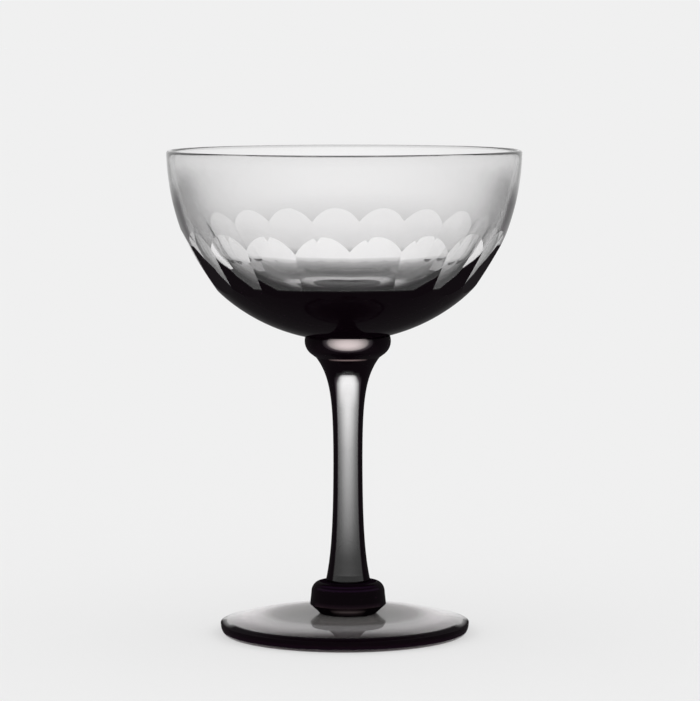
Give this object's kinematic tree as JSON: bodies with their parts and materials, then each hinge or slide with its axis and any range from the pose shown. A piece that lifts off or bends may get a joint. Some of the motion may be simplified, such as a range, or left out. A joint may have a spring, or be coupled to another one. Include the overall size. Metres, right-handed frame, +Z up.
{
  "type": "coupe glass",
  "caption": "Wide shallow stemmed drinking glass with a ring of lens cuts round the bowl, a knop at each end of the stem and a round foot.",
  "frame": {"origin": "centre of the ring that the foot stands on, at table height and on the bowl's axis", "axes": "+Z up along the bowl's axis towards the rim, +X to the right as pictured, seen along +Y"},
  "size_m": [0.0966, 0.0966, 0.1321],
  "materials": {
    "bowl_glass": "fire-polished at the lip, polished lens cuts round the belly, faint smoky violet tint that shows in thick glass",
    "knop_glass": "fire-polished thick glass, smoky violet, nearly black where it is deep",
    "stem_glass": "fire-polished solid glass, smoky grey, darker towards the foot",
    "foot_glass": "fire-polished glass with faint tool marks in rings, smoky grey, nearly black at its thick edge"
  },
  "bodies": {
    "root": {"bowl": "bowl_glass", "upper_knop": "knop_glass", "stem": "stem_glass", "lower_knop": "knop_glass", "foot": "foot_glass"}
  },
  "joints": []
}
